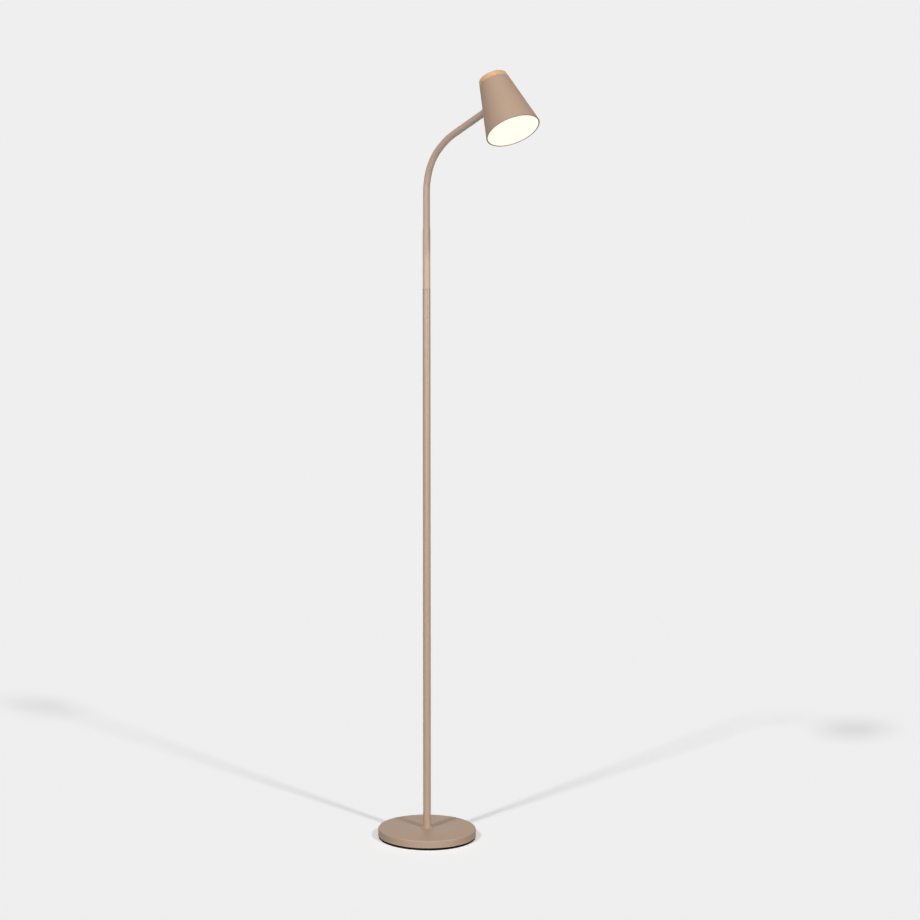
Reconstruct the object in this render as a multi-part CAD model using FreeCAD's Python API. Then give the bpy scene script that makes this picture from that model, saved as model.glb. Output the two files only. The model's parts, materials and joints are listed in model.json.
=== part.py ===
import FreeCAD, Part
import math
import os

# A gooseneck reading floor lamp, in millimetres.
# +Z is up, the origin is on the floor at the centre of the base, and the neck leans towards +X.

# --- Driving dimensions: base ---
base_diameter = 200.0
cover_height = 15.0
cover_wall = 1.2
cover_bevel = 1.6
pad_thickness = 4.5
pad_inset = 1.0
recess_diameter = 30.0
recess_depth = 8.0
lead_channel_width = 6.4
lead_channel_height = 3.8

# --- Driving dimensions: pole ---
pole_diameter = 16.0
pole_wall = 1.2
pole_length = 1100.0
collar_diameter = 23.5
collar_height = 2.8
stud_diameter = 10.0
stud_bore = 7.0
stud_tail = 1.0
nut_across_flats = 17.0
nut_height = 5.0
foot_plug_length = 28.0

# --- Driving dimensions: gooseneck ---
core_diameter = 11.2
core_sides = 12
sleeve_wall = 1.2
sleeve_sides = 16
sleeve_shoulder = 12.0
ferrule_diameter = 12.8
ferrule_length = 115.4
ferrule_socket_depth = 32.0
ferrule_bore = 6.0
ferrule_flange_diameter = 16.8
ferrule_flange_thickness = 1.6
spigot_length = 24.0
neck_rise = 76.3
tight_bend_radius = 103.8
tight_bend_turn = 51.4
wide_bend_radius = 206.0
neck_reach = 124.7
hinge_kinds = "FSFFSFFSFFSF"
forward_limit = 20.5
backward_limit = 25.8
side_limit = 22.5

# --- Driving dimensions: head ---
head_tilt = 57.5
rim_diameter = 106.0
rim_width = 2.3
rim_height = 3.0
cap_diameter = 55.0
head_length = 120.0
cap_height = 11.3
shade_wall = 1.0
shade_end_wall = 1.2
shade_inner_sides = 48
entry_distance = 43.5
end_ferrule_length = 22.0
end_socket_depth = 13.0
thread_diameter = 8.0
thread_bore = 5.0
thread_tail = 1.0
head_nut_across_flats = 13.0
head_nut_height = 5.0
cap_screw_shank = 4.0
cap_screw_head = 8.0
cap_screw_head_height = 2.5
cap_screw_depth = 8.0
sink_distance = 92.0
sink_plate = 3.0
sink_fin_height = 18.0
sink_fin_thickness = 1.5
sink_fin_length = 56.0
sink_fin_pitch = 8.0
sink_fin_count = 7
driver_width = 30.0
driver_height = 17.0
board_width = 54.0
board_thickness = 1.6
emitter_length = 3.5
emitter_width = 2.8
emitter_height = 0.7
emitter_rings = ((11.0, 6), (22.0, 12))
diffuser_thickness = 2.5
diffuser_recess = 0.3

# --- Clearances ---
fit = 0.05
slip = 0.1
sleeve_seam = 0.1
core_seam_clearance = 0.2
weight_clearance = 0.3
screw_clearance = 0.3

# --- Heights and radii that follow ---
cover_radius = base_diameter / 2
cover_bottom = pad_thickness
cover_top = cover_bottom + cover_height
weight_top = cover_top - cover_wall
weight_radius = cover_radius - cover_wall - weight_clearance
recess_top = pad_thickness + recess_depth
pole_radius = pole_diameter / 2
pole_bore_radius = pole_radius - pole_wall
pole_top = cover_top + pole_length
stud_radius = stud_diameter / 2
neck_base = pole_top + ferrule_flange_thickness
ferrule_radius = ferrule_diameter / 2
ferrule_top = neck_base + ferrule_length
core_radius = core_diameter / 2
core_corner_radius = core_radius / math.cos(math.pi / core_sides)
sleeve_bore_radius = core_radius + slip
sleeve_radius = sleeve_bore_radius + sleeve_wall
wide_sleeve_bore_radius = ferrule_radius + slip
wide_sleeve_radius = wide_sleeve_bore_radius + sleeve_wall
sleeve_flat = math.cos(math.pi / sleeve_sides)
rim_radius = rim_diameter / 2
diffuser_seat_radius = rim_radius - rim_width
cap_radius = cap_diameter / 2
cone_slope = (rim_radius - cap_radius) / head_length
cone_angle = math.atan(cone_slope)
wall_across = shade_wall / math.cos(cone_angle)
thread_radius = thread_diameter / 2

# The neck meets the wall of the shade square on, so its end slope follows from the shade.
end_slope = math.radians(90.0 - head_tilt) - cone_angle
tight_turn = math.radians(tight_bend_turn)
wide_turn = math.pi / 2 - end_slope - tight_turn

# The neck's centreline at rest: the length of each stretch and how far it turns.
neck_stretches = (
    (neck_rise, 0.0), (tight_bend_radius * tight_turn, tight_turn),
    (wide_bend_radius * wide_turn, wide_turn), (neck_reach, 0.0))
neck_length = sum(length for length, _ in neck_stretches)
flex_length = neck_length - end_ferrule_length
hinge_count = len(hinge_kinds)
hinge_pitch = flex_length / hinge_count


def vec(x, y, z):
    return FreeCAD.Vector(x, y, z)


up = vec(0, 0, 1)
sideways = vec(0, 1, 0)


def save(shape, node):
    shape.exportStep("parts/" + node + ".step")


def rod(radius, length, start=vec(0, 0, 0), along=up):
    return Part.makeCylinder(radius, length, start, along)


def tube(outer, inner, length, start=vec(0, 0, 0), along=up):
    return rod(outer, length, start, along).cut(rod(inner, length, start, along))


def turned(outline):
    """A solid turned about Z from (radius, height) points."""
    points = [vec(r, 0, z) for r, z in outline]
    face = Part.Face(Part.makePolygon(points + points[:1]))
    return face.revolve(vec(0, 0, 0), up, 360)


def polygon(sides, corner_radius, height=0):
    """A regular polygon about Z."""
    corners = [vec(corner_radius * math.cos(2 * math.pi * k / sides),
                   corner_radius * math.sin(2 * math.pi * k / sides), height) for k in range(sides)]
    return Part.makePolygon(corners + corners[:1])


def tapered(sides, corner_radius, height, next_corner_radius, next_height):
    """A straight-sided block about Z between two regular polygons."""
    ends = [polygon(sides, corner_radius, height), polygon(sides, next_corner_radius, next_height)]
    low, high = [[corner.Point for corner in end.OrderedVertexes] for end in ends]
    flats = []
    for k in range(sides):
        after = (k + 1) % sides
        flats.append(Part.Face(Part.makePolygon([low[k], low[after], high[after], high[k], low[k]])))
    return Part.Solid(Part.makeShell(flats + [Part.Face(end) for end in ends]))


def bar(sides, flat_radius, length, start, along):
    """A straight bar with this many flats, each this far from its axis."""
    outline = polygon(sides, flat_radius / math.cos(math.pi / sides))
    solid = Part.Face(outline).extrude(vec(0, 0, length))
    solid.Placement = FreeCAD.Placement(start, FreeCAD.Rotation(vec(0, 0, 0), sideways, along, "ZYX"))
    return solid


def hexagon(across_flats, height, bore, start=vec(0, 0, 0), along=up):
    """A plain hexagon nut that stands on start."""
    return bar(6, across_flats / 2, height, start, along).cut(rod(bore, height, start, along))


def ring_of(count, radius):
    """Points evenly spaced on a circle about Z, each with its turn in degrees."""
    for k in range(count):
        turn = 2 * math.pi * k / count
        yield vec(radius * math.cos(turn), radius * math.sin(turn), 0), math.degrees(turn)


# --- The neck's centreline and its hinges ---
def along_neck(distance):
    """The point this far along the neck's centreline from the top of the lower ferrule."""
    point = vec(0, 0, ferrule_top)
    slope = math.pi / 2
    for length, whole_turn in neck_stretches:
        part = min(distance, length)
        half_turn = whole_turn * part / length / 2
        chord = part if half_turn == 0 else part * math.sin(half_turn) / half_turn
        point += vec(math.cos(slope - half_turn), 0, math.sin(slope - half_turn)) * chord
        slope -= 2 * half_turn
        distance -= part
    return point


end_direction = vec(math.cos(end_slope), 0, math.sin(end_slope))
neck_end = along_neck(flex_length)
wall_point = along_neck(neck_length)
hinge_points = [along_neck((k + 0.5) * hinge_pitch) for k in range(hinge_count)]
neck_points = [along_neck(0)] + hinge_points + [neck_end]
link_directions = [(b - a).normalize() for a, b in zip(neck_points, neck_points[1:])]
seam_directions = [(a + b).normalize() for a, b in zip(link_directions, link_directions[1:])]
widest_bend = math.radians(max(forward_limit, backward_limit, side_limit))
core_setback = core_corner_radius * math.tan(widest_bend / 2) + core_seam_clearance


def half_space(point, direction):
    """A block that fills the side of a plane that direction points to, near the neck."""
    size = 6 * wide_sleeve_radius
    block = Part.makeBox(size, size, size, vec(-size / 2, -size / 2, 0))
    block.Placement = FreeCAD.Placement(point, FreeCAD.Rotation(up, direction))
    return block


def trim_to_seams(solid, link):
    """Cuts a piece of sleeve off at the seams at its two ends, square to the bend there."""
    if link > 0:
        seam = seam_directions[link - 1]
        solid = solid.cut(half_space(hinge_points[link - 1] + seam * (sleeve_seam / 2), seam * -1))
    if link < hinge_count:
        seam = seam_directions[link]
        solid = solid.cut(half_space(hinge_points[link] - seam * (sleeve_seam / 2), seam))
    return solid


def sleeve_link(link):
    """One length of the rubber sleeve. The first and last also cover a ferrule."""
    along = link_directions[link]
    overrun = along * sleeve_radius
    start = neck_points[link] - (overrun if link > 0 else vec(0, 0, 0))
    end = neck_points[link + 1] + (overrun if link < hinge_count else vec(0, 0, 0))
    outside = bar(sleeve_sides, sleeve_radius, (end - start).Length, start, along)
    inside = bar(core_sides, sleeve_bore_radius, (end - start).Length, start, along)
    if link == 0:
        outside = outside.fuse(bar(sleeve_sides, wide_sleeve_radius, ferrule_length, vec(0, 0, neck_base), up))
        outside = outside.fuse(tapered(sleeve_sides, wide_sleeve_radius / sleeve_flat, ferrule_top,
                                       sleeve_radius / sleeve_flat, ferrule_top + sleeve_shoulder))
        inside = inside.fuse(bar(core_sides, wide_sleeve_bore_radius, ferrule_length + fit, vec(0, 0, neck_base), up))
    if link == hinge_count:
        foot = neck_end - end_direction * fit
        outside = outside.fuse(bar(sleeve_sides, wide_sleeve_radius, end_ferrule_length, neck_end, along))
        inside = inside.fuse(bar(core_sides, wide_sleeve_bore_radius, end_ferrule_length + fit, foot, along))
    return trim_to_seams(outside.cut(inside).removeSplitter(), link)


def core_link(link):
    """One length of the wound steel core. The first and last are gripped in a ferrule."""
    along = link_directions[link]
    start = neck_points[link] + along * core_setback
    end = neck_points[link + 1] - along * core_setback
    if link == 0:
        start = neck_points[0] - along * (ferrule_socket_depth - fit)
    if link == hinge_count:
        end = neck_points[-1] + along * (end_socket_depth - fit)
    return bar(core_sides, core_radius, (end - start).Length, start, along)


def lower_ferrule():
    """The long steel sleeve at the foot of the neck, plugged into the top of the pole."""
    flange_radius = ferrule_flange_diameter / 2
    socket_foot = ferrule_length - ferrule_socket_depth
    return turned([
        (ferrule_bore / 2, -ferrule_flange_thickness - spigot_length),
        (pole_bore_radius - fit, -ferrule_flange_thickness - spigot_length),
        (pole_bore_radius - fit, -ferrule_flange_thickness),
        (flange_radius, -ferrule_flange_thickness), (flange_radius, 0),
        (ferrule_radius, 0), (ferrule_radius, ferrule_length),
        (core_corner_radius + fit, ferrule_length), (core_corner_radius + fit, socket_foot),
        (ferrule_bore / 2, socket_foot)]).translate(vec(0, 0, neck_base))


def end_ferrule():
    """The short ferrule at the head, with a hollow thread that goes through the wall of the shade."""
    thread_end = end_ferrule_length + shade_wall + nut_stand_off + head_nut_height + thread_tail
    piece = turned([
        (thread_bore / 2, end_socket_depth), (core_corner_radius + fit, end_socket_depth),
        (core_corner_radius + fit, 0), (ferrule_radius, 0), (ferrule_radius, end_ferrule_length - fit),
        (thread_radius - fit, end_ferrule_length - fit), (thread_radius - fit, thread_end),
        (thread_bore / 2, thread_end)])
    piece.Placement = FreeCAD.Placement(neck_end, FreeCAD.Rotation(up, end_direction))
    return piece


# --- Base ---
def base_cover():
    """A pressed steel lid with a bevelled top edge."""
    inner_radius = cover_radius - cover_wall
    under = cover_top - cover_wall
    lid = turned([
        (stud_radius + screw_clearance, under), (inner_radius, under), (inner_radius, cover_bottom),
        (cover_radius, cover_bottom), (cover_radius, cover_top - cover_bevel),
        (cover_radius - cover_bevel, cover_top), (stud_radius + screw_clearance, cover_top)])
    return lid.cut(lead_channel())


def base_weight():
    """The steel disc that holds the lamp down, with its nut recess and lead channel below."""
    disc = rod(weight_radius, weight_top - pad_thickness, vec(0, 0, pad_thickness))
    disc = disc.cut(rod(stud_radius + screw_clearance, weight_top))
    disc = disc.cut(rod(recess_diameter / 2, recess_top))
    return disc.cut(lead_channel())


def lead_channel():
    """The flat groove that the lead runs in, from the back edge of the base to the stud."""
    return Part.makeBox(cover_radius, lead_channel_width, lead_channel_height,
                        vec(-cover_radius, -lead_channel_width / 2, pad_thickness))


def pole_foot():
    """The plug in the foot of the pole, with the hollow stud that goes down through the base."""
    stud_bottom = recess_top - nut_height - stud_tail
    return turned([
        (stud_bore / 2, stud_bottom), (stud_radius - fit, stud_bottom), (stud_radius - fit, cover_top),
        (pole_bore_radius - fit, cover_top), (pole_bore_radius - fit, cover_top + foot_plug_length),
        (stud_bore / 2, cover_top + foot_plug_length)])


# --- Head: its own axis runs from the middle of the wooden cap down to the mouth of the shade ---
head_axis = vec(math.cos(math.radians(head_tilt)), 0, -math.sin(math.radians(head_tilt)))
neck_side = vec(-math.sin(math.radians(head_tilt)), 0, -math.cos(math.radians(head_tilt)))


def outer_radius(distance):
    """The outside radius of the head at a distance from the top of the cap."""
    return cap_radius + cone_slope * distance


def inner_radius(distance):
    """The inside radius of the shade, at the middle of one of its inner flats."""
    return (outer_radius(distance) - wall_across) * math.cos(math.pi / shade_inner_sides)


# The nut inside the shade stands off until its corners clear the curve of the wall.
nut_corner = head_nut_across_flats / 2 / math.cos(math.pi / 6)
nut_stand_off = inner_radius(entry_distance) - math.sqrt(inner_radius(entry_distance) ** 2 - nut_corner ** 2) + slip

head_origin = wall_point - head_axis * entry_distance - neck_side * outer_radius(entry_distance)
head_place = FreeCAD.Placement(head_origin, FreeCAD.Rotation(neck_side, sideways, head_axis, "ZXY"))


def place_on_head(shape):
    shape.Placement = head_place
    return shape


def shade():
    """A spun steel cone with a closed narrow end and a thicker rim that holds the diffuser."""
    end = cap_height + shade_end_wall
    rim_back = head_length - rim_height
    cone = turned([
        (0, cap_height), (outer_radius(cap_height), cap_height), (rim_radius, head_length), (0, head_length)])
    hollow = tapered(shade_inner_sides, outer_radius(end) - wall_across, end,
                     outer_radius(rim_back) - wall_across, rim_back)
    cone = cone.cut(hollow).cut(rod(diffuser_seat_radius, rim_height, vec(0, 0, rim_back)))
    cone = cone.cut(rod(cap_screw_shank / 2 + slip, end))
    return place_on_head(cone).cut(rod(thread_radius + slip, cap_diameter / 2,
                                       wall_point - end_direction * shade_wall, end_direction))


def wood_cap():
    body = turned([
        (0, 0), (cap_radius, 0), (outer_radius(cap_height), cap_height), (0, cap_height)])
    pilot = rod(cap_screw_shank / 2, cap_screw_depth, vec(0, 0, cap_height - cap_screw_depth))
    return place_on_head(body.cut(pilot))


def cap_screw():
    """The wood screw that holds the cap, with its head inside the shade."""
    seat = cap_height + shade_end_wall
    length = cap_screw_depth + shade_end_wall - fit
    shank = rod(cap_screw_shank / 2 - fit, length, vec(0, 0, seat - length))
    return place_on_head(shank.fuse(rod(cap_screw_head / 2, cap_screw_head_height, vec(0, 0, seat))))


def heat_sink():
    """An aluminium disc that wedges in the cone, with straight fins on its back."""
    body = rod(inner_radius(sink_distance) - fit, sink_plate, vec(0, 0, sink_distance))
    fins = [Part.makeBox(sink_fin_length, sink_fin_thickness, sink_fin_height,
                         vec(-sink_fin_length / 2,
                             (k - (sink_fin_count - 1) / 2) * sink_fin_pitch - sink_fin_thickness / 2,
                             sink_distance - sink_fin_height)) for k in range(sink_fin_count)]
    return place_on_head(body.multiFuse(fins))


def led_driver():
    """The sealed LED driver that stands on the fins of the heat sink."""
    foot = sink_distance - sink_fin_height
    return place_on_head(Part.makeBox(driver_width, driver_width, driver_height,
                                      vec(-driver_width / 2, -driver_width / 2, foot - driver_height)))


def led_board():
    return place_on_head(Part.makeBox(board_width, board_width, board_thickness,
                                      vec(-board_width / 2, -board_width / 2, sink_distance + sink_plate)))


def led_emitters():
    front = sink_distance + sink_plate + board_thickness
    emitters = []
    for radius, count in emitter_rings:
        for _, turn in ring_of(count, radius):
            chip = Part.makeBox(emitter_length, emitter_width, emitter_height,
                                vec(radius - emitter_length / 2, -emitter_width / 2, front))
            chip.rotate(vec(0, 0, 0), up, turn)
            emitters.append(chip)
    return place_on_head(Part.makeCompound(emitters))


def diffuser():
    back = head_length - diffuser_recess - diffuser_thickness
    return place_on_head(rod(diffuser_seat_radius - slip, diffuser_thickness, vec(0, 0, back)))


os.makedirs("parts", exist_ok=True)

save(rod(cover_radius - pad_inset, pad_thickness), "floor_pad")
save(base_weight(), "base_weight")
save(base_cover(), "base_cover")
save(hexagon(nut_across_flats, nut_height, stud_radius, vec(0, 0, recess_top - nut_height)), "base_nut")
save(pole_foot(), "pole_foot")
save(tube(collar_diameter / 2, pole_radius + fit, collar_height, vec(0, 0, cover_top)), "pole_collar")
save(tube(pole_radius, pole_bore_radius, pole_length, vec(0, 0, cover_top)), "pole_tube")
save(lower_ferrule(), "lower_ferrule")
for link in range(hinge_count + 1):
    save(sleeve_link(link), "neck_sleeve_%02d" % (link + 1))
    save(core_link(link), "neck_core_%02d" % (link + 1))
save(end_ferrule(), "end_ferrule")
save(hexagon(head_nut_across_flats, head_nut_height, thread_radius,
             wall_point + end_direction * (shade_wall + nut_stand_off), end_direction), "head_nut")
save(shade(), "shade")
save(wood_cap(), "wood_cap")
save(cap_screw(), "cap_screw")
save(heat_sink(), "heat_sink")
save(led_driver(), "led_driver")
save(led_board(), "led_board")
save(led_emitters(), "led_emitters")
save(diffuser(), "diffuser")
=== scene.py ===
"""The looks of a gooseneck reading floor lamp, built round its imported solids.

Lengths are in metres and angles in radians.
"""
import json
import math

import bpy
from bpy.props import FloatProperty, FloatVectorProperty, PointerProperty
from mathutils import Matrix, Vector


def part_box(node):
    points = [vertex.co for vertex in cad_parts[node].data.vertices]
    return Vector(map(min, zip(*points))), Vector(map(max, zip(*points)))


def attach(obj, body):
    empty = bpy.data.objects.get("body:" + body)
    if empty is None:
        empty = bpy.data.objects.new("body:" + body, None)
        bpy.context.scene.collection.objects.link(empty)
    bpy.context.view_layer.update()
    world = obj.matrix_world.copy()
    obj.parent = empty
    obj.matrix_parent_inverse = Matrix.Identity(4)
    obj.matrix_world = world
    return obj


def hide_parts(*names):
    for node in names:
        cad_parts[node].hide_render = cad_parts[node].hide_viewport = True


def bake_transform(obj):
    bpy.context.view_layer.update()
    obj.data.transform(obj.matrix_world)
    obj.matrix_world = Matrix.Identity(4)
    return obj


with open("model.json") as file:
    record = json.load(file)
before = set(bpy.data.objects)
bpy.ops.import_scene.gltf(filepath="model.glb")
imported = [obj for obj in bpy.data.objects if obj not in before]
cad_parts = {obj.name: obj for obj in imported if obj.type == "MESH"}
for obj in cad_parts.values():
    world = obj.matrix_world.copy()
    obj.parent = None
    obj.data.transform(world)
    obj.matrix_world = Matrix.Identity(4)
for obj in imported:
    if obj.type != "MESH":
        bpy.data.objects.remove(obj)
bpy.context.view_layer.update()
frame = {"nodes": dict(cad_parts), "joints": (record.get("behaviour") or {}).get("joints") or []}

bl_info = {
    "name": "Gooseneck Reading Lamp",
    "version": (1, 0, 0),
    "blender": (4, 5, 0),
    "location": "View3D > Sidebar > Lamp",
    "description": "Builds the pieces, finishes and studio of a gooseneck reading floor lamp",
    "category": "Add Mesh",
}

LINK_COUNT = len(frame["joints"]) + 1
HINGES = [Vector(joint["pos_m"]) for joint in frame["joints"]]
UP = Vector((0, 0, 1))
SIDEWAYS = Vector((0, 1, 0))
RELIEF_DEPTH = 0.0002


# --- Sizes and colours that a user would change ---
class LampBaseSettings(bpy.types.PropertyGroup):
    edge_radius: FloatProperty(
        name="Edge Radius", description="Rounding of the lid's top edge",
        default=0.0022, min=0.0005, unit="LENGTH")
    lip_height: FloatProperty(
        name="Lip Height", description="Height of the rolled lip at the foot of the lid",
        default=0.0011, min=0.0002, unit="LENGTH")
    pad_edge: FloatProperty(
        name="Pad Edge", description="Rounding of the rubber pad's edges",
        default=0.0002, min=0.0001, unit="LENGTH")
    collar_edge: FloatProperty(
        name="Collar Edge", description="Rounding of the collar at the foot of the pole",
        default=0.0009, min=0.0001, unit="LENGTH")


class LampNeckSettings(bpy.types.PropertyGroup):
    rise: FloatProperty(
        name="Rise", description="Straight length above the ferrule",
        default=0.0763, min=0.001, unit="LENGTH")
    tight_radius: FloatProperty(
        name="Tight Radius", description="Radius of the first, tighter bend at rest",
        default=0.1038, min=0.03, unit="LENGTH")
    tight_turn: FloatProperty(
        name="Tight Turn", description="How far the tighter bend turns",
        default=math.radians(51.4), subtype="ANGLE")
    wide_bend_radius: FloatProperty(
        name="Wide Bend Radius", description="Radius of the second, wider bend",
        default=0.206, min=0.03, unit="LENGTH")
    sleeve_radius: FloatProperty(
        name="Sleeve Radius", description="Outside radius of the thin sleeve",
        default=0.0069, min=0.002, unit="LENGTH")
    wide_radius: FloatProperty(
        name="Wide Radius", description="Outside radius of the sleeve over a ferrule",
        default=0.0077, min=0.002, unit="LENGTH")
    bore_radius: FloatProperty(
        name="Bore Radius", description="Inside radius of the thin sleeve",
        default=0.0059, min=0.002, unit="LENGTH")
    wide_bore_radius: FloatProperty(
        name="Wide Bore Radius", description="Inside radius over a ferrule",
        default=0.0065, min=0.002, unit="LENGTH")
    shoulder: FloatProperty(
        name="Shoulder", description="Length of the taper above the lower ferrule",
        default=0.012, min=0.0005, unit="LENGTH")
    rolled_edge: FloatProperty(
        name="Rolled Edge", description="How far the sleeve's lower edge turns in",
        default=0.0003, min=0.0, unit="LENGTH")
    end_length: FloatProperty(
        name="End Length", description="Length of the sleeve over the head's ferrule",
        default=0.022, min=0.005, unit="LENGTH")
    end_shoulder: FloatProperty(
        name="End Shoulder", description="Length of the taper before the head",
        default=0.006, min=0.0005, unit="LENGTH")


class LampHeadSettings(bpy.types.PropertyGroup):
    tilt: FloatProperty(
        name="Tilt", description="Angle of the shade's axis below level",
        default=math.radians(57.5), subtype="ANGLE")
    length: FloatProperty(
        name="Length", description="From the top of the cap to the mouth of the shade",
        default=0.120, min=0.02, unit="LENGTH")
    mouth_radius: FloatProperty(
        name="Mouth Radius", description="Outside radius at the mouth",
        default=0.053, min=0.01, unit="LENGTH")
    cap_radius: FloatProperty(
        name="Cap Radius", description="Outside radius at the top of the cap",
        default=0.0275, min=0.005, unit="LENGTH")
    cap_height: FloatProperty(
        name="Cap Height", description="Height of the wooden cap",
        default=0.0113, min=0.002, unit="LENGTH")
    rim_width: FloatProperty(
        name="Rim Width", description="Width of the rim round the diffuser",
        default=0.0028, min=0.0005, unit="LENGTH")
    wall: FloatProperty(
        name="Wall", description="Wall of the shade",
        default=0.001, min=0.0003, unit="LENGTH")
    diffuser_recess: FloatProperty(
        name="Diffuser Recess", description="How far the diffuser sits inside the rim",
        default=0.0003, min=0.0, unit="LENGTH")


class LampColourSettings(bpy.types.PropertyGroup):
    paint: FloatVectorProperty(
        name="Paint", description="Satin paint of the metal pieces",
        subtype="COLOR", size=3, min=0, max=1, default=(0.46, 0.325, 0.235))
    sleeve: FloatVectorProperty(
        name="Sleeve", description="Soft sleeve of the neck",
        subtype="COLOR", size=3, min=0, max=1, default=(0.58, 0.42, 0.325))
    wood: FloatVectorProperty(
        name="Wood", description="Main tone of the wooden cap",
        subtype="COLOR", size=3, min=0, max=1, default=(0.75, 0.445, 0.245))
    rubber: FloatVectorProperty(
        name="Rubber", description="Pad under the base",
        subtype="COLOR", size=3, min=0, max=1, default=(0.004, 0.004, 0.004))
    steel: FloatVectorProperty(
        name="Steel", description="Plain inner steel pieces",
        subtype="COLOR", size=3, min=0, max=1, default=(0.50, 0.50, 0.51))
    light: FloatVectorProperty(
        name="Light", description="Colour of the lit diffuser",
        subtype="COLOR", size=3, min=0, max=1, default=(1.0, 0.965, 0.84))
    light_strength: FloatProperty(
        name="Light Strength", description="Brightness of the lit diffuser",
        default=0.85, min=0.0)


class LampStudioSettings(bpy.types.PropertyGroup):
    background: FloatProperty(
        name="Background", description="Grey level that the camera sees behind the lamp",
        default=0.863, min=0.0, max=1.0)
    floor_bounce: FloatProperty(
        name="Floor Bounce", description="Grey of the floor for the light it throws back",
        default=0.25, min=0.0, max=1.0)
    floor_glow: FloatProperty(
        name="Floor Glow", description="Level added to the lit floor where the camera sees it",
        default=0.346, min=0.0, max=1.0)
    world_strength: FloatProperty(
        name="World Strength", description="Level light from all round",
        default=0.09, min=0.0)
    high_strength: FloatProperty(
        name="High Strength",
        description="Strength of each high light, which casts a shadow on the floor",
        default=1.0, min=0.0)
    high_spread: FloatProperty(
        name="High Spread", description="How wide the high lights look, for soft shadows",
        default=math.radians(4.0), subtype="ANGLE")
    front_power: FloatProperty(
        name="Front Power", description="Power of the large soft lamp at the front",
        default=54.0, min=0.0, unit="POWER")
    edge_power: FloatProperty(
        name="Edge Power", description="Power of each small lamp that draws a streak on the pole",
        default=22.0, min=0.0, unit="POWER")
    edge_size: FloatProperty(
        name="Edge Size", description="Side of the two small lamps",
        default=0.5, min=0.1, unit="LENGTH")
    back_power: FloatProperty(
        name="Back Power", description="Power of the large soft lamp behind",
        default=18.0, min=0.0, unit="POWER")
    soft_size: FloatProperty(
        name="Soft Size", description="Side of the two large soft lamps",
        default=2.2, min=0.1, unit="LENGTH")
    view_turn: FloatProperty(
        name="View Turn", description="Turn of the camera round the lamp",
        default=1.0023, subtype="ANGLE")


# --- Mesh helpers ---
def rounded(outline, closed=True, steps=5):
    """Points of an outline whose corners (across, along, radius) are rounded by arcs."""
    points = []
    count = len(outline)
    for k, (across, along, radius) in enumerate(outline):
        corner = Vector((across, along))
        if radius <= 0 or (not closed and k in (0, count - 1)):
            points.append(corner)
            continue
        before = Vector(outline[k - 1][:2]) - corner
        after = Vector(outline[(k + 1) % count][:2]) - corner
        half = before.angle(after) / 2
        reach = min(radius / math.tan(half), 0.49 * before.length, 0.49 * after.length)
        start = corner + before.normalized() * reach
        end = corner + after.normalized() * reach
        inward = (before.normalized() + after.normalized()).normalized()
        middle = corner + inward * (reach / math.cos(half))
        for step in range(steps + 1):
            arm = start.lerp(end, step / steps) - middle
            points.append(middle + arm.normalized() * (start - middle).length)
    return points


def finish_mesh(name, verts, faces, material, crease=math.radians(40)):
    """A smooth piece whose edges stay sharp where the faces turn by more than the crease angle."""
    mesh = bpy.data.meshes.new(name)
    mesh.from_pydata([tuple(v) for v in verts], [], faces)
    mesh.validate()
    mesh.polygons.foreach_set("use_smooth", [True] * len(mesh.polygons))
    mesh.set_sharp_from_angle(angle=crease)
    piece = bpy.data.objects.new(name, mesh)
    bpy.context.scene.collection.objects.link(piece)
    mesh.materials.append(material)
    even = piece.modifiers.new("Even shading", "WEIGHTED_NORMAL")
    even.keep_sharp = True
    return piece


def turned(name, outline, material, closed=True, place=Matrix.Identity(4), segments=96):
    """A piece turned about Z from a closed outline, or an open one whose ends are on the axis."""
    rings, verts, faces = [], [], []
    for across, along in outline:
        if across < 1e-7:
            rings.append([len(verts)])
            verts.append(place @ Vector((0, 0, along)))
            continue
        rings.append(range(len(verts), len(verts) + segments))
        for k in range(segments):
            turn = 2 * math.pi * k / segments
            verts.append(place @ Vector((across * math.cos(turn), across * math.sin(turn), along)))
    pairs = list(zip(rings, rings[1:]))
    if closed:
        pairs.append((rings[-1], rings[0]))
    for low, high in pairs:
        for k in range(segments):
            after = (k + 1) % segments
            if len(low) == 1 and len(high) == 1:
                continue
            if len(low) == 1:
                faces.append((low[0], high[after], high[k]))
            elif len(high) == 1:
                faces.append((low[k], low[after], high[0]))
            else:
                faces.append((low[k], low[after], high[after], high[k]))
    return finish_mesh(name, verts, faces, material)


def hose(name, stations, material, segments=40):
    """A hollow hose. Each station is (centre, direction, outside radius, inside radius)."""
    verts, faces = [], []
    count = len(stations)
    for side in (2, 3):
        for station in stations:
            centre, direction = station[0], station[1]
            across = SIDEWAYS.cross(direction).normalized()
            for k in range(segments):
                turn = 2 * math.pi * k / segments
                outward = across * math.cos(turn) + SIDEWAYS * math.sin(turn)
                verts.append(centre + outward * station[side])

    def vert(wall, ring, k):
        return (wall * count + ring) * segments + k % segments

    for k in range(segments):
        for ring in range(count - 1):
            faces.append((vert(0, ring, k), vert(0, ring, k + 1),
                          vert(0, ring + 1, k + 1), vert(0, ring + 1, k)))
            faces.append((vert(1, ring, k), vert(1, ring + 1, k),
                          vert(1, ring + 1, k + 1), vert(1, ring, k + 1)))
        for ring in (0, count - 1):
            loop = (vert(0, ring, k), vert(1, ring, k),
                    vert(1, ring, k + 1), vert(0, ring, k + 1))
            faces.append(loop if ring == 0 else loop[::-1])
    return finish_mesh(name, verts, faces, material)


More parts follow.
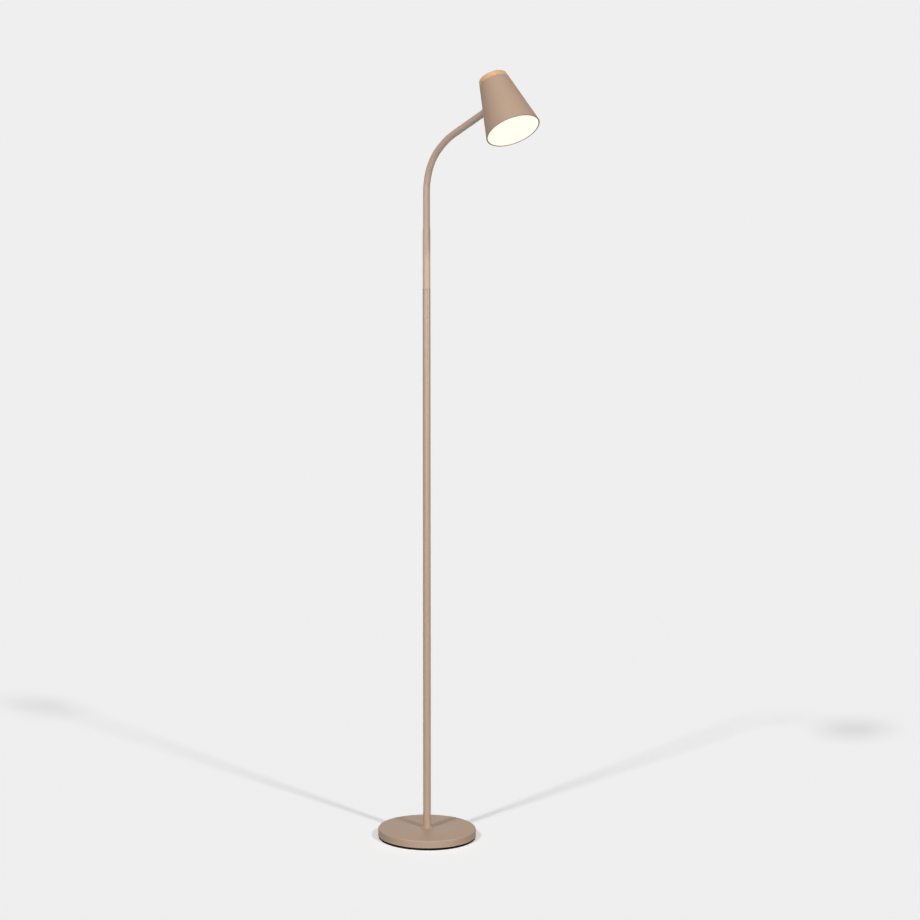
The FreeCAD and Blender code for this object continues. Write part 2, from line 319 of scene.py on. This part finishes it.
# --- Finishes ---
def node_group(name, inputs, outputs):
    """A shader node group with its named sockets, and its input and output nodes."""
    group = bpy.data.node_groups.new(name, "ShaderNodeTree")
    for label, kind, value in inputs:
        socket = group.interface.new_socket(label, in_out="INPUT", socket_type=kind)
        if value is not None:
            socket.default_value = value
    for label, kind in outputs:
        group.interface.new_socket(label, in_out="OUTPUT", socket_type=kind)
    return group, group.nodes.new("NodeGroupInput"), group.nodes.new("NodeGroupOutput")


def add(tree, kind, **values):
    """A node with its properties and unlinked inputs set by name; inputs are written as in_Name."""
    node = tree.nodes.new(kind)
    for key, value in values.items():
        if key.startswith("in_"):
            node.inputs[key[3:].replace("_", " ")].default_value = value
        else:
            setattr(node, key, value)
    return node


def surface_grain():
    """Fine grain of a moulded or sprayed surface: its tone, its roughness and its height."""
    found = bpy.data.node_groups.get("Surface Grain")
    if found:
        return found
    inputs = (("Color", "NodeSocketColor", (0.5, 0.5, 0.5, 1)),
              ("Tone Spread", "NodeSocketFloat", 0.05),
              ("Roughness", "NodeSocketFloat", 0.5),
              ("Roughness Spread", "NodeSocketFloat", 0.06),
              ("Grain Scale", "NodeSocketFloat", 1500.0))
    outputs = (("Color", "NodeSocketColor"),
               ("Roughness", "NodeSocketFloat"),
               ("Height", "NodeSocketFloat"))
    group, enter, leave = node_group("Surface Grain", inputs, outputs)
    link = group.links.new
    place = add(group, "ShaderNodeTexCoord")
    fine = add(group, "ShaderNodeTexNoise", in_Detail=3.0, in_Roughness=0.6)
    broad = add(group, "ShaderNodeTexNoise", in_Scale=14.0, in_Detail=3.0, in_Roughness=0.55)
    link(place.outputs["Object"], fine.inputs["Vector"])
    link(enter.outputs["Grain Scale"], fine.inputs["Scale"])
    link(place.outputs["Object"], broad.inputs["Vector"])
    broad_share = 0.6
    both = add(group, "ShaderNodeMath", operation="MULTIPLY_ADD")
    both.inputs[1].default_value = broad_share
    link(broad.outputs["Fac"], both.inputs[0])
    share = add(group, "ShaderNodeMath", operation="MULTIPLY")
    share.inputs[1].default_value = 1 - broad_share
    link(fine.outputs["Fac"], share.inputs[0])
    link(share.outputs[0], both.inputs[2])
    centred = add(group, "ShaderNodeMath", operation="SUBTRACT")
    centred.inputs[1].default_value = 0.5
    link(both.outputs[0], centred.inputs[0])
    tone = add(group, "ShaderNodeMath", operation="MULTIPLY_ADD")
    tone.inputs[2].default_value = 1.0
    link(centred.outputs[0], tone.inputs[0])
    link(enter.outputs["Tone Spread"], tone.inputs[1])
    shaded = add(group, "ShaderNodeVectorMath", operation="SCALE")
    link(enter.outputs["Color"], shaded.inputs[0])
    link(tone.outputs[0], shaded.inputs["Scale"])
    link(shaded.outputs[0], leave.inputs["Color"])
    rough = add(group, "ShaderNodeMath", operation="MULTIPLY_ADD", use_clamp=True)
    link(centred.outputs[0], rough.inputs[0])
    link(enter.outputs["Roughness Spread"], rough.inputs[1])
    link(enter.outputs["Roughness"], rough.inputs[2])
    link(rough.outputs[0], leave.inputs["Roughness"])
    link(fine.outputs["Fac"], leave.inputs["Height"])
    return group


def principled(name):
    """A new material, its node tree and its Principled shader."""
    material = bpy.data.materials.new(name)
    material.use_nodes = True
    tree = material.node_tree
    return material, tree, tree.nodes["Principled BSDF"]


def grained(name, color, roughness=0.5, spread=0.08, tone=0.06, scale=1500.0, bump=0.15,
            metallic=0.0, specular=0.5, sheen=0.0):
    """A finish with the surface grain in its colour, roughness and bump."""
    found = bpy.data.materials.get(name)
    if found:
        return found
    material, tree, shader = principled(name)
    link = tree.links.new
    grain = add(tree, "ShaderNodeGroup", node_tree=surface_grain())
    grain.inputs["Color"].default_value = (*color, 1)
    grain.inputs["Tone Spread"].default_value = tone
    grain.inputs["Roughness"].default_value = roughness
    grain.inputs["Roughness Spread"].default_value = spread
    grain.inputs["Grain Scale"].default_value = scale
    relief = add(tree, "ShaderNodeBump", in_Strength=bump, in_Distance=RELIEF_DEPTH)
    link(grain.outputs["Color"], shader.inputs["Base Color"])
    link(grain.outputs["Roughness"], shader.inputs["Roughness"])
    link(grain.outputs["Height"], relief.inputs["Height"])
    link(relief.outputs["Normal"], shader.inputs["Normal"])
    shader.inputs["Metallic"].default_value = metallic
    shader.inputs["Specular IOR Level"].default_value = specular
    shader.inputs["Sheen Weight"].default_value = sheen
    return material


def colours():
    return bpy.context.scene.lamp_colours


def satin_paint():
    return grained("Satin Paint", colours().paint, roughness=0.26, spread=0.06, tone=0.05,
                   scale=1800.0, bump=0.03, specular=0.6)


def matt_paint():
    return grained("Matt Paint", colours().paint, roughness=0.62, spread=0.10, tone=0.05,
                   scale=1500.0, bump=0.16, specular=0.20)


def soft_sleeve():
    return grained("Soft Sleeve", colours().sleeve, roughness=0.44, spread=0.12, tone=0.07,
                   scale=2200.0, bump=0.12, specular=0.50, sheen=0.05)


def black_rubber():
    return grained("Black Rubber", colours().rubber, roughness=0.90, spread=0.1, tone=0.4,
                   scale=900.0, bump=0.4, specular=0.1)


def plain_steel():
    return grained("Plain Steel", colours().steel, roughness=0.38, spread=0.2, tone=0.15,
                   scale=700.0, bump=0.1, metallic=1.0)


def cast_metal():
    return grained("Cast Metal", (0.62, 0.62, 0.63), roughness=0.48, spread=0.2, tone=0.15,
                   scale=500.0, bump=0.3, metallic=1.0)


def white_moulding():
    return grained("White Moulding", (0.78, 0.78, 0.76), roughness=0.5, tone=0.04, scale=1200.0)


def solder_resist():
    return grained("Solder Resist", (0.82, 0.82, 0.80), roughness=0.3, tone=0.05, scale=600.0,
                   bump=0.05)


def phosphor():
    return grained("Phosphor", (0.80, 0.62, 0.10), roughness=0.6, tone=0.2, scale=2500.0, bump=0.3)


def lit_opal():
    """Opal that is lit from behind."""
    found = bpy.data.materials.get("Lit Opal")
    if found:
        return found
    material, tree, shader = principled("Lit Opal")
    link = tree.links.new
    grain = add(tree, "ShaderNodeGroup", node_tree=surface_grain())
    grain.inputs["Color"].default_value = (*colours().light, 1)
    grain.inputs["Tone Spread"].default_value = 0.015
    grain.inputs["Roughness"].default_value = 0.45
    grain.inputs["Grain Scale"].default_value = 900.0
    link(grain.outputs["Roughness"], shader.inputs["Roughness"])
    link(grain.outputs["Color"], shader.inputs["Emission Color"])
    shader.inputs["Base Color"].default_value = (0.30, 0.29, 0.26, 1)
    shader.inputs["Emission Strength"].default_value = colours().light_strength
    return material


def oiled_wood():
    """Pale wood whose grain runs across the cap, with fine pores and broad bands."""
    found = bpy.data.materials.get("Oiled Wood")
    if found:
        return found
    material, tree, shader = principled("Oiled Wood")
    link = tree.links.new
    place = add(tree, "ShaderNodeTexCoord")
    along_grain = (0.35, bpy.context.scene.lamp_head.tilt, 0.6)

    def stretched_noise(scale, **values):
        turn = add(tree, "ShaderNodeMapping")
        turn.inputs["Rotation"].default_value = along_grain
        turn.inputs["Scale"].default_value = scale
        noise = add(tree, "ShaderNodeTexNoise", in_Scale=1.0, **values)
        link(place.outputs["Object"], turn.inputs["Vector"])
        link(turn.outputs["Vector"], noise.inputs["Vector"])
        return noise

    bands = stretched_noise((12.0, 170.0, 170.0), in_Detail=4.0, in_Roughness=0.6,
                            in_Distortion=0.6)
    pores = stretched_noise((150.0, 2400.0, 2400.0), in_Detail=2.0, in_Roughness=0.5)
    tones = add(tree, "ShaderNodeValToRGB")
    red, green, blue = colours().wood
    ramp = tones.color_ramp
    ramp.elements[0].position, ramp.elements[1].position = 0.30, 0.72
    ramp.elements[0].color = (red * 0.80, green * 0.74, blue * 0.68, 1)
    ramp.elements[1].color = (min(red * 1.10, 1), green * 1.14, blue * 1.18, 1)
    middle = ramp.elements.new(0.5)
    middle.color = (red, green, blue, 1)
    specks = add(tree, "ShaderNodeMapRange", in_From_Min=0.35, in_From_Max=0.55,
                 in_To_Min=0.86, in_To_Max=1.0)
    darker = add(tree, "ShaderNodeVectorMath", operation="SCALE")
    rough = add(tree, "ShaderNodeMapRange", in_To_Min=0.42, in_To_Max=0.62)
    relief = add(tree, "ShaderNodeBump", in_Strength=0.25, in_Distance=RELIEF_DEPTH)
    link(bands.outputs["Fac"], tones.inputs["Fac"])
    link(pores.outputs["Fac"], specks.inputs["Value"])
    link(tones.outputs["Color"], darker.inputs[0])
    link(specks.outputs["Result"], darker.inputs["Scale"])
    link(darker.outputs[0], shader.inputs["Base Color"])
    link(bands.outputs["Fac"], rough.inputs["Value"])
    link(rough.outputs["Result"], shader.inputs["Roughness"])
    link(pores.outputs["Fac"], relief.inputs["Height"])
    link(relief.outputs["Normal"], shader.inputs["Normal"])
    shader.inputs["Specular IOR Level"].default_value = 0.4
    return material


def dress_node(node, material):
    """Gives a finish to a solid that no dressed piece replaces."""
    for slot in frame["nodes"][node].material_slots:
        slot.link = "OBJECT"
        slot.material = material


# --- Where the neck and the head are ---
def ease(share):
    """Goes smoothly from 0 to 1 as share does."""
    share = min(max(share, 0.0), 1.0)
    return share * share * (3 - 2 * share)


def neck_course():
    """The neck's centreline: (point, direction) at a distance from the top of the lower ferrule."""
    neck, head = bpy.context.scene.lamp_neck, bpy.context.scene.lamp_head
    flare = math.atan((head.mouth_radius - head.cap_radius) / head.length)
    wide_turn = head.tilt + flare - neck.tight_turn
    stretches = ((neck.rise, 0.0), (neck.tight_radius * neck.tight_turn, neck.tight_turn),
                 (neck.wide_bend_radius * wide_turn, wide_turn), (math.inf, 0.0))
    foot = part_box("lower_ferrule")[1].z

    def at(distance):
        point, slope = UP * foot, math.pi / 2
        for length, whole_turn in stretches:
            part = min(distance, length)
            half_turn = whole_turn * part / length / 2
            chord = part if half_turn == 0 else part * math.sin(half_turn) / half_turn
            heading = slope - half_turn
            point = point + Vector((math.cos(heading), 0, math.sin(heading))) * chord
            slope -= 2 * half_turn
            distance -= part
            if distance <= 0:
                break
        return point, Vector((math.cos(slope), 0, math.sin(slope)))

    return at


def head_place():
    """Takes points from the head's own axes, with Z from the cap to the mouth, to the lamp's."""
    head = bpy.context.scene.lamp_head
    axis = Vector((math.cos(head.tilt), 0, -math.sin(head.tilt)))
    neck_side = Vector((-math.sin(head.tilt), 0, -math.cos(head.tilt)))
    low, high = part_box("wood_cap")
    top = Vector((low.x + head.cap_radius * math.sin(head.tilt), 0,
                  high.z - head.cap_radius * math.cos(head.tilt)))
    matrix = Matrix((neck_side, SIDEWAYS, axis)).transposed().to_4x4()
    return Matrix.Translation(top) @ matrix


def outside_radius(distance):
    """Outside radius of the head at a distance from the top of its cap."""
    head = bpy.context.scene.lamp_head
    return head.cap_radius + (head.mouth_radius - head.cap_radius) * distance / head.length


# --- One operator for each piece or group of like pieces ---
class LAMP_OT_floor_pad(bpy.types.Operator):
    """Adds the rubber pad under the base"""
    bl_idname = "lamp.floor_pad"
    bl_label = "Floor Pad"

    def execute(self, context):
        edge = context.scene.lamp_base.pad_edge
        low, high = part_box("floor_pad")
        outline = rounded([(0, low.z, 0), (high.x, low.z, edge),
                           (high.x, high.z, edge), (0, high.z, 0)], closed=False)
        pad = turned("floor_rubber", outline, black_rubber(), closed=False, segments=160)
        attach(pad, "stand")
        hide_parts("floor_pad")
        return {"FINISHED"}


class LAMP_OT_base_lid(bpy.types.Operator):
    """Adds the painted lid of the base, with its rounded edge and rolled lip"""
    bl_idname = "lamp.base_lid"
    bl_label = "Base Lid"

    def execute(self, context):
        base = context.scene.lamp_base
        low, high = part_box("base_cover")
        radius, bore, wall = high.x, 0.0053, 0.0012
        lip, lip_step = base.lip_height, 0.0003
        inner_edge, outer_edge, fine = 0.0003, 0.0005, 0.0002
        outline = rounded([
            (bore, high.z - wall, 0), (radius - wall, high.z - wall, base.edge_radius - wall),
            (radius - wall, low.z, inner_edge), (radius, low.z, outer_edge),
            (radius, low.z + lip, fine), (radius - lip_step, low.z + lip + lip_step, fine),
            (radius - lip_step, high.z, base.edge_radius), (bore, high.z, 0)])
        lid = turned("base_lid", outline, matt_paint(), segments=192)
        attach(lid, "stand")
        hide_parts("base_cover")
        return {"FINISHED"}


class LAMP_OT_pole(bpy.types.Operator):
    """Adds the pole, its collar and the ring at its top"""
    bl_idname = "lamp.pole"
    bl_label = "Pole"

    def execute(self, context):
        edge = context.scene.lamp_base.collar_edge
        low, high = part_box("pole_tube")
        wall, fine, gap = 0.0012, 0.0002, 0.00005
        outline = rounded([(high.x - wall, low.z, 0), (high.x, low.z, 0),
                           (high.x, high.z, fine), (high.x - wall, high.z, 0)])
        pole = turned("pole_shaft", outline, satin_paint(), segments=96)
        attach(pole, "stand")
        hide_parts("pole_tube")
        bottom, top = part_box("pole_collar")
        outline = rounded([(high.x + gap, bottom.z, 0), (top.x, bottom.z, fine),
                           (top.x, top.z, edge), (high.x + gap, top.z, fine)])
        collar = turned("foot_collar", outline, matt_paint(), segments=96)
        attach(collar, "stand")
        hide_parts("pole_collar")
        dress_node("lower_ferrule", satin_paint())
        return {"FINISHED"}


class LAMP_OT_neck_sleeve(bpy.types.Operator):
    """Adds the soft sleeve in lengths that run across the hinges of the neck"""
    bl_idname = "lamp.neck_sleeve"
    bl_label = "Neck Sleeve"

    def execute(self, context):
        at = neck_course()
        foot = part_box("lower_ferrule")[1].z
        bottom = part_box("neck_sleeve_01")[0].z - foot
        pitch = (HINGES[1] - HINGES[0]).length
        hinges = [HINGES[0].z - foot + k * pitch for k in range(len(HINGES))]
        ends = [0.0] + [hinge + pitch / 2 for hinge in hinges]
        bodies = ["stand"] + ["link_%02d" % k for k in range(1, len(HINGES))] + ["head"]
        nodes = ["neck_sleeve_%02d" % (k + 1) for k in range(LINK_COUNT)]
        coarse, fine = 0.0018, 0.0006

        def length_of_sleeve(name, start, end, step):
            count = max(round((end - start) / step), 1)
            bore = self.bore((start + end) / 2, ends[-1])
            stations = []
            for k in range(count + 1):
                distance = start + (end - start) * k / count
                stations.append((*at(distance), self.outside(distance, bottom, ends[-1]), bore))
            piece = hose(name, stations, soft_sleeve())
            return piece

        piece = length_of_sleeve("sleeve_foot", bottom, 0.0, fine)
        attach(piece, bodies[0])
        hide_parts(nodes[0])
        for k in range(len(HINGES)):
            piece = length_of_sleeve("sleeve_bend_%02d" % (k + 1), ends[k], ends[k + 1], coarse)
            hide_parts(nodes[k], nodes[k + 1])
            at(ends[k + 1])[0]
            at(ends[k])[0]
            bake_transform(piece)
        end_length = context.scene.lamp_neck.end_length
        piece = length_of_sleeve("sleeve_end", ends[-1], ends[-1] + end_length, fine)
        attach(piece, bodies[-1])
        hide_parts(nodes[-1])
        return {"FINISHED"}

    def outside(self, distance, bottom, ferrule_start):
        """Outside radius: wide over both ferrules, eased down to the thin stretch between."""
        neck = bpy.context.scene.lamp_neck
        roll_height = 0.0012
        below = ease(distance / neck.shoulder)
        above = ease((distance - ferrule_start + neck.end_shoulder) / neck.end_shoulder)
        wide = neck.wide_radius - neck.rolled_edge * (1 - ease((distance - bottom) / roll_height))
        return neck.sleeve_radius + (wide - neck.sleeve_radius) * max(1 - below, above)

    def bore(self, middle, ferrule_start):
        """Inside radius of a length, by where its middle is."""
        neck = bpy.context.scene.lamp_neck
        return neck.bore_radius if 0 < middle < ferrule_start else neck.wide_bore_radius


class LAMP_OT_shade(bpy.types.Operator):
    """Adds the painted conical shade with its rim"""
    bl_idname = "lamp.shade"
    bl_label = "Shade"

    def execute(self, context):
        head = context.scene.lamp_head
        end = head.cap_height
        end_wall, rim_height, bore = 0.0012, 0.003, 0.0021
        fine, soft, mouth_edge = 0.0003, 0.0005, 0.0007
        seat, shelf = head.mouth_radius - head.rim_width, head.length - rim_height
        outline = rounded([
            (bore, end, 0), (outside_radius(end), end, fine),
            (head.mouth_radius, head.length, mouth_edge),
            (seat, head.length, soft), (seat, shelf, 0),
            (outside_radius(shelf) - head.wall, shelf, 0),
            (outside_radius(end + end_wall) - head.wall, end + end_wall, soft),
            (bore, end + end_wall, 0)])
        shade = turned("conical_shade", outline, matt_paint(), place=head_place(), segments=144)
        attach(shade, "head")
        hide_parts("shade")
        return {"FINISHED"}


class LAMP_OT_wood_cap(bpy.types.Operator):
    """Adds the turned wooden cap"""
    bl_idname = "lamp.wood_cap"
    bl_label = "Wood Cap"

    def execute(self, context):
        head = context.scene.lamp_head
        top_edge, fine = 0.0012, 0.0003
        outline = rounded([
            (0, 0, 0), (head.cap_radius, 0, top_edge),
            (outside_radius(head.cap_height), head.cap_height, fine),
            (0, head.cap_height, 0)], closed=False)
        cap = turned("turned_cap", outline, oiled_wood(), closed=False, place=head_place(),
                     segments=128)
        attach(cap, "head")
        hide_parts("wood_cap")
        return {"FINISHED"}


class LAMP_OT_diffuser(bpy.types.Operator):
    """Adds the lit opal diffuser"""
    bl_idname = "lamp.diffuser"
    bl_label = "Diffuser"

    def execute(self, context):
        head = context.scene.lamp_head
        gap, thickness, back_edge, front_edge = 0.0001, 0.0025, 0.0003, 0.0004
        radius = head.mouth_radius - head.rim_width - gap
        face = head.length - head.diffuser_recess
        back = face - thickness
        outline = rounded([(0, back, 0), (radius, back, back_edge),
                           (radius, face, front_edge), (0, face, 0)], closed=False)
        opal = turned("opal_diffuser", outline, lit_opal(), closed=False, place=head_place(),
                      segments=128)
        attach(opal, "head")
        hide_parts("diffuser")
        return {"FINISHED"}


class LAMP_OT_inner_pieces(bpy.types.Operator):
    """Gives the pieces inside the base, neck and head their finishes"""
    bl_idname = "lamp.inner_pieces"
    bl_label = "Inner Pieces"

    def execute(self, context):
        steel = ["base_weight", "base_nut", "pole_foot", "end_ferrule", "head_nut", "cap_screw"]
        steel += ["neck_core_%02d" % (k + 1) for k in range(LINK_COUNT)]
        for node in steel:
            dress_node(node, plain_steel())
        dress_node("heat_sink", cast_metal())
        dress_node("led_driver", white_moulding())
        dress_node("led_board", solder_resist())
        dress_node("led_emitters", phosphor())
        return {"FINISHED"}


class LAMP_OT_studio(bpy.types.Operator):
    """Adds the pale floor, the soft lights, the world and the camera"""
    bl_idname = "lamp.studio"
    bl_label = "Studio"

    def execute(self, context):
        self.floor(context)
        self.world(context)
        self.lights(context)
        self.camera(context)
        return {"FINISHED"}

    def floor(self, context):
        """A floor that takes shadows near the lamp and fades into the plain background."""
        studio = context.scene.lamp_studio
        half, fade_start, fade_end = 30.0, 1.7, 3.2
        mesh = bpy.data.meshes.new("studio_floor")
        corners = [(-half, -half, 0), (half, -half, 0), (half, half, 0), (-half, half, 0)]
        mesh.from_pydata(corners, [], [(0, 1, 2, 3)])
        floor = bpy.data.objects.new("studio_floor", mesh)
        context.scene.collection.objects.link(floor)
        material, tree, shader = principled("Pale Floor")
        link = tree.links.new
        shader.inputs["Roughness"].default_value = 0.9
        shader.inputs["Specular IOR Level"].default_value = 0.0
        seen = self.seen_share(tree)
        tone = add(tree, "ShaderNodeMix", data_type="RGBA")
        tone.inputs["A"].default_value = (*[studio.floor_bounce] * 3, 1)
        tone.inputs["B"].default_value = (1, 1, 1, 1)
        link(seen, tone.inputs["Factor"])
        link(tone.outputs["Result"], shader.inputs["Base Color"])
        glow = add(tree, "ShaderNodeEmission")
        glow.inputs["Color"].default_value = (*[studio.floor_glow] * 3, 1)
        lit = add(tree, "ShaderNodeAddShader")
        link(shader.outputs[0], lit.inputs[0])
        link(glow.outputs[0], lit.inputs[1])
        near = add(tree, "ShaderNodeMixShader")
        link(seen, near.inputs["Fac"])
        link(shader.outputs[0], near.inputs[1])
        link(lit.outputs[0], near.inputs[2])
        plain = add(tree, "ShaderNodeEmission")
        plain.inputs["Color"].default_value = (*[studio.background] * 3, 1)
        place = add(tree, "ShaderNodeTexCoord")
        reach = add(tree, "ShaderNodeVectorMath", operation="LENGTH")
        fade = add(tree, "ShaderNodeMapRange", interpolation_type="SMOOTHSTEP",
                   in_From_Min=fade_start, in_From_Max=fade_end)
        share = add(tree, "ShaderNodeMath", operation="MULTIPLY")
        link(place.outputs["Object"], reach.inputs[0])
        link(reach.outputs["Value"], fade.inputs["Value"])
        link(fade.outputs["Result"], share.inputs[0])
        link(seen, share.inputs[1])
        mix = add(tree, "ShaderNodeMixShader")
        link(share.outputs[0], mix.inputs["Fac"])
        link(near.outputs[0], mix.inputs[1])
        link(plain.outputs[0], mix.inputs[2])
        link(mix.outputs[0], tree.nodes["Material Output"].inputs["Surface"])
        mesh.materials.append(material)

    def seen_share(self, tree):
        """1 for a ray from the camera, a gloss or a clear piece, and 0 for any other."""
        path = add(tree, "ShaderNodeLightPath")
        first = add(tree, "ShaderNodeMath", operation="MAXIMUM")
        second = add(tree, "ShaderNodeMath", operation="MAXIMUM")
        tree.links.new(path.outputs["Is Camera Ray"], first.inputs[0])
        tree.links.new(path.outputs["Is Glossy Ray"], first.inputs[1])
        tree.links.new(first.outputs[0], second.inputs[0])
        tree.links.new(path.outputs["Is Transmission Ray"], second.inputs[1])
        return second.outputs[0]

    def world(self, context):
        """Level light from all round, in front of a plain background."""
        studio = context.scene.lamp_studio
        world = bpy.data.worlds.new("Studio World")
        context.scene.world = world
        world.use_nodes = True
        tree = world.node_tree
        around = tree.nodes["Background"]
        around.inputs["Color"].default_value = (1, 1, 1, 1)
        around.inputs["Strength"].default_value = studio.world_strength
        behind = add(tree, "ShaderNodeBackground")
        behind.inputs["Color"].default_value = (1, 1, 1, 1)
        behind.inputs["Strength"].default_value = studio.background
        mix = add(tree, "ShaderNodeMixShader")
        tree.links.new(self.seen_share(tree), mix.inputs["Fac"])
        tree.links.new(around.outputs[0], mix.inputs[1])
        tree.links.new(behind.outputs[0], mix.inputs[2])
        tree.links.new(mix.outputs[0], tree.nodes["World Output"].inputs["Surface"])

    def lights(self, context):
        """Two narrow high lights that draw the shadows, and soft lamps that spare the floor."""
        studio = context.scene.lamp_studio
        for name, place in (("studio_high_left", (-2.289, 2.742, 4.249)),
                            ("studio_high_right", (2.338, 3.103, 3.897))):
            sun = self.light(context, name, "SUN", studio.high_strength, place)
            sun.data.angle = studio.high_spread
        unlit = bpy.data.collections.new("Not lit by the soft lamps")
        unlit.objects.link(bpy.data.objects["studio_floor"])
        unlit.collection_objects[0].light_linking.link_state = "EXCLUDE"
        for name, place, power, size in (
                ("studio_lamp_front", (0.0, 3.6, 1.25), studio.front_power, studio.soft_size),
                ("studio_lamp_left", (-2.9, 2.5, 1.1), studio.edge_power, studio.edge_size),
                ("studio_lamp_right", (2.9, 2.5, 1.1), studio.edge_power, studio.edge_size),
                ("studio_lamp_back", (0.0, -3.6, 0.9), studio.back_power, studio.soft_size)):
            lamp = self.light(context, name, "AREA", power, place)
            lamp.data.size = size
            lamp.visible_camera = False
            lamp.light_linking.receiver_collection = unlit

    def light(self, context, name, kind, power, place):
        """Adds a light that faces the lamp. Its place is how far right, back towards the camera
        and up it is."""
        right, ahead = self.level_directions(context)
        aim = Vector((0, 0, 0.75))
        spot = right * place[0] - ahead * place[1] + UP * place[2]
        data = bpy.data.lights.new(name, kind)
        data.energy = power
        lamp = bpy.data.objects.new(name, data)
        facing = (aim - spot).to_track_quat("-Z", "Y").to_matrix().to_4x4()
        lamp.matrix_world = Matrix.Translation(spot) @ facing
        context.scene.collection.objects.link(lamp)
        return lamp

    def level_directions(self, context):
        """Right and straight ahead as the camera sees them, both level."""
        turn = context.scene.lamp_studio.view_turn
        right = Vector((math.cos(turn), math.sin(turn), 0))
        return right, Vector((-math.sin(turn), math.cos(turn), 0))

    def camera(self, context):
        """The camera as fitted to the photograph, whose frame is square."""
        distance, height, down, roll = 4.42071, 1.26831, 0.0981, 0.0049
        focal_pixels, middle_x, middle_y, frame_pixels = 2206.96, 336.354, 432.572, 920
        lamp_right = 0.18183
        right, ahead_level = self.level_directions(context)
        ahead = ahead_level * math.cos(down) - UP * math.sin(down)
        above = ahead_level * math.sin(down) + UP * math.cos(down)
        side = right * math.cos(roll) - above * math.sin(roll)
        above = right * math.sin(roll) + above * math.cos(roll)
        data = bpy.data.cameras.new("photo_camera")
        data.sensor_fit = "HORIZONTAL"
        data.sensor_width = 36.0
        data.lens = focal_pixels / frame_pixels * data.sensor_width
        data.shift_x = (frame_pixels / 2 - middle_x) / frame_pixels
        data.shift_y = (middle_y - frame_pixels / 2) / frame_pixels
        camera = bpy.data.objects.new("photo_camera", data)
        place = -ahead_level * distance - right * lamp_right + UP * height
        camera.matrix_world = (Matrix.Translation(place)
                               @ Matrix((side, above, -ahead)).transposed().to_4x4())
        context.scene.collection.objects.link(camera)
        context.scene.camera = camera
        context.scene.view_settings.view_transform = "Standard"


OPERATORS = (LAMP_OT_floor_pad, LAMP_OT_base_lid, LAMP_OT_pole, LAMP_OT_neck_sleeve,
             LAMP_OT_shade, LAMP_OT_wood_cap, LAMP_OT_diffuser, LAMP_OT_inner_pieces,
             LAMP_OT_studio)
SETTINGS = {"lamp_base": LampBaseSettings, "lamp_neck": LampNeckSettings,
            "lamp_head": LampHeadSettings, "lamp_colours": LampColourSettings,
            "lamp_studio": LampStudioSettings}


class LAMP_PT_panel(bpy.types.Panel):
    """Lists the settings and the pieces of the lamp"""
    bl_idname = "LAMP_PT_panel"
    bl_label = "Gooseneck Reading Lamp"
    bl_space_type = "VIEW_3D"
    bl_region_type = "UI"
    bl_category = "Lamp"

    def draw(self, context):
        for name in SETTINGS:
            box = self.layout.box()
            settings = getattr(context.scene, name)
            for label in settings.__annotations__:
                box.prop(settings, label)
        for operator in OPERATORS:
            self.layout.operator(operator.bl_idname)


def register():
    for settings in SETTINGS.values():
        bpy.utils.register_class(settings)
    for name, settings in SETTINGS.items():
        setattr(bpy.types.Scene, name, PointerProperty(type=settings))
    for each in OPERATORS + (LAMP_PT_panel,):
        bpy.utils.register_class(each)


def unregister():
    for each in reversed(OPERATORS + (LAMP_PT_panel,)):
        bpy.utils.unregister_class(each)
    for name in SETTINGS:
        delattr(bpy.types.Scene, name)
    for settings in SETTINGS.values():
        bpy.utils.unregister_class(settings)


def main():
    register()
    for operator in OPERATORS:
        family, name = operator.bl_idname.split(".")
        getattr(getattr(bpy.ops, family), name)()


if __name__ == "__main__":
    main()
